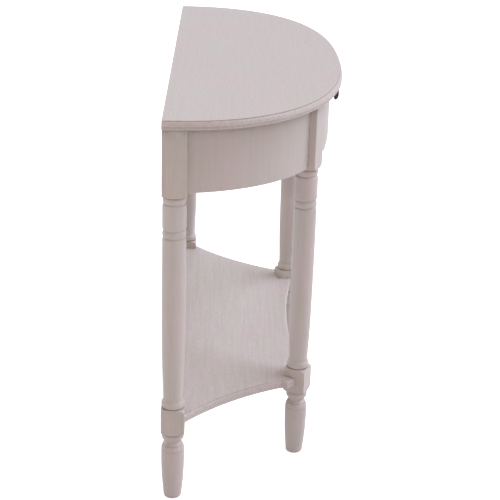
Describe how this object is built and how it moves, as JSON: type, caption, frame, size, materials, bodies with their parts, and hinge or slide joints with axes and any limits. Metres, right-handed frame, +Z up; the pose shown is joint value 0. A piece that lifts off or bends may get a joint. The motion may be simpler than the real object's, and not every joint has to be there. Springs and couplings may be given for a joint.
{
  "type": "side table",
  "caption": "Half-round side table on turned legs, with a moulded top, bowed aprons, a bowed drawer and a hollow-edged low shelf.",
  "frame": {"origin": "on the floor, under the middle of the table's box", "axes": "+Z up, +X along the width, to the right as one faces the drawer; the drawer opens towards -Y and the straight back edge faces +Y"},
  "size_m": [1, 0.3344, 0.75],
  "materials": {
    "limed_wood": "lime-washed, satin, fine grain",
    "bare_wood": "planed, unfinished",
    "plywood": "sanded, unfinished",
    "knob_metal": "dark bronzed, satin",
    "screw_steel": "zinc-plated"
  },
  "bodies": {
    "table": {"top": "limed_wood", "leg_back_left": "limed_wood", "leg_back_right": "limed_wood", "leg_front_left": "limed_wood", "leg_front_right": "limed_wood", "apron_left": "limed_wood", "apron_right": "limed_wood", "back_rail": "limed_wood", "front_rail_upper": "limed_wood", "front_rail_lower": "limed_wood", "corner_block_left": "bare_wood", "corner_block_right": "bare_wood", "runner_left": "bare_wood", "runner_right": "bare_wood", "guide_left": "bare_wood", "guide_right": "bare_wood", "kicker_left": "bare_wood", "kicker_right": "bare_wood", "shelf": "limed_wood", "frame_dowels": "bare_wood", "small_dowels": "bare_wood", "top_screws": "screw_steel"},
    "drawer": {"drawer_front": "limed_wood", "drawer_box_front": "bare_wood", "drawer_back": "bare_wood", "drawer_side_left": "bare_wood", "drawer_side_right": "bare_wood", "drawer_bottom": "plywood", "stop_button": "bare_wood", "knob": "knob_metal", "knob_screw": "screw_steel", "drawer_front_screws": "screw_steel", "stop_button_screw": "screw_steel"}
  },
  "joints": [
    {"name": "drawer_slide", "type": "slide", "parent": "table", "child": "drawer", "axis": [0, -1, 0], "range_m": [0, 0.165]}
  ]
}
